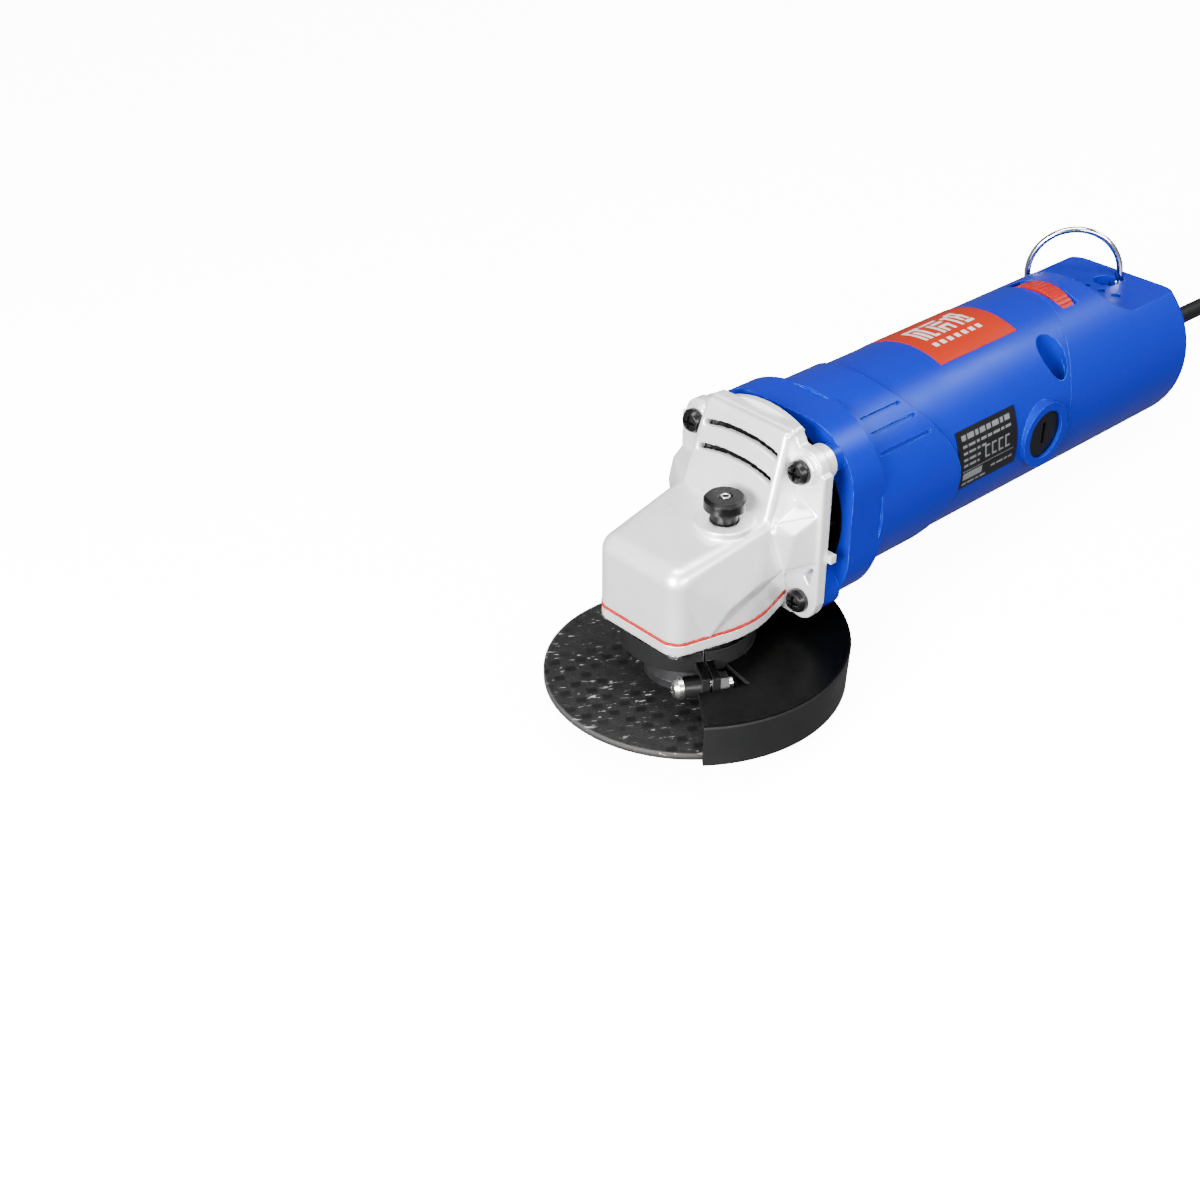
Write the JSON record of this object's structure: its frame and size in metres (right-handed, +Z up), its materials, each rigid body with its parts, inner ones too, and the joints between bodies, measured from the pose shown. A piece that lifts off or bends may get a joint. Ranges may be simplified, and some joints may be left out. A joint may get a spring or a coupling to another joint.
{
  "type": "angle grinder",
  "caption": "Corded angle grinder with a cast gear head, half guard, cutting disc, round blue motor body, speed dial and hanging ring, leaning on its disc nut and tail.",
  "frame": {"origin": "centre of the grinder's footprint, on the surface that it stands on, without its cord", "axes": "+X forward along the body towards the gear head, +Y to the user's left, +Z up"},
  "size_m": [0.5468, 0.1137, 0.0971],
  "materials": {
    "cast_alloy": "bead-blasted casting, satin",
    "blue_shell": "satin moulded nylon",
    "black_screw": "black oxide",
    "zinc_steel": "zinc plated",
    "red_gasket": "pressed fibre sheet",
    "bearing_steel": "ground",
    "bronze": "sintered",
    "machined_steel": "turned",
    "gear_steel": "hardened, oiled",
    "disc_fibre": "resin-bonded abrasive with woven glass",
    "dark_steel": "phosphated",
    "guard_paint": "satin black powder coat",
    "black_plastic": "moulded",
    "spring_steel": "spring wire",
    "laminated_steel": "stacked laminations",
    "copper_wire": "enamelled copper",
    "brass": "drawn",
    "carbon": "graphite",
    "soft_rubber": "matte",
    "orange_plastic": "moulded",
    "circuit_board": "varnished board",
    "orange_label": "printed film",
    "dark_label": "printed film",
    "ring_steel": "polished wire"
  },
  "bodies": {
    "body": {"gear_case": "cast_alloy", "gear_case_screws": "black_screw", "case_gasket": "red_gasket", "bearing_cover": "cast_alloy", "cover_screws": "zinc_steel", "spindle_bearing": "bearing_steel", "upper_bush": "bronze", "bearing_plate": "cast_alloy", "front_bearing": "bearing_steel", "rear_bearing": "bearing_steel", "bearing_sleeve": "soft_rubber", "fan_baffle": "black_plastic", "motor_housing": "blue_shell", "stator_core": "laminated_steel", "field_coils": "copper_wire", "stator_screws": "zinc_steel", "brush_holders": "brass", "carbon_brushes": "carbon", "brush_springs": "spring_steel", "brush_caps": "black_plastic", "tail_cover": "blue_shell", "tail_screws": "black_screw", "speed_board": "circuit_board", "power_switch": "black_plastic", "cord_clamp": "black_plastic", "cord_boot": "soft_rubber", "power_cord": "soft_rubber", "cord_coil": "soft_rubber", "cord_tie": "black_plastic", "plug_body": "soft_rubber", "plug_pins": "machined_steel", "top_label": "orange_label", "rating_plate": "dark_label", "lock_spring": "spring_steel"},
    "spindle_set": {"spindle": "machined_steel", "bevel_gear": "gear_steel", "gear_key": "machined_steel", "inner_flange": "dark_steel", "cutting_disc": "disc_fibre", "flange_nut": "dark_steel"},
    "rotor": {"armature_shaft": "machined_steel", "armature_core": "laminated_steel", "armature_windings": "copper_wire", "commutator": "copper_wire", "fan": "black_plastic", "pinion": "gear_steel", "pinion_nut": "machined_steel"},
    "guard_set": {"guard": "guard_paint", "guard_band": "guard_paint", "clamp_screw": "zinc_steel", "clamp_nut": "black_screw"},
    "lock": {"lock_button": "black_plastic", "lock_pin": "machined_steel"},
    "dial": {"speed_dial": "orange_plastic"},
    "slider": {"switch_slider": "black_plastic"},
    "ring": {"hanging_ring": "ring_steel"}
  },
  "joints": [
    {"name": "spindle_spin", "type": "hinge", "parent": "body", "child": "spindle_set", "pos_m": [0.09294, -0.00305, 0.06296], "axis": [-0.121, 0, 0.9926], "continuous": true},
    {"name": "rotor_spin", "type": "hinge", "parent": "body", "child": "rotor", "pos_m": [0.09294, -0.00305, 0.06296], "axis": [0.9926, 0, 0.121], "continuous": true},
    {"name": "guard_turn", "type": "hinge", "parent": "body", "child": "guard_set", "pos_m": [0.09294, -0.00305, 0.06296], "axis": [-0.121, 0, 0.9926], "range_deg": [-120, 120]},
    {"name": "lock_press", "type": "slide", "parent": "body", "child": "lock", "axis": [0.121, 0, -0.9926], "range_m": [0, 0.0025], "stiffness_N_per_m": 600, "springref_m": -0.003, "deforming": ["lock_spring"]},
    {"name": "dial_turn", "type": "hinge", "parent": "body", "child": "dial", "pos_m": [-0.09269, -0.00305, 0.05685], "axis": [0.9926, 0, 0.121], "range_deg": [0, 270]},
    {"name": "switch_slide", "type": "slide", "parent": "body", "child": "slider", "axis": [0.9926, 0, 0.121], "range_m": [0, 0.007]},
    {"name": "ring_fold", "type": "hinge", "parent": "body", "child": "ring", "pos_m": [-0.13265, -0.0158, 0.05616], "axis": [0.6363, -0.7714, -0.0044], "range_deg": [-25, 40]}
  ],
  "couplings": [
    {"joint": "rotor_spin", "follows": "spindle_spin", "ratio": -3.2727}
  ]
}
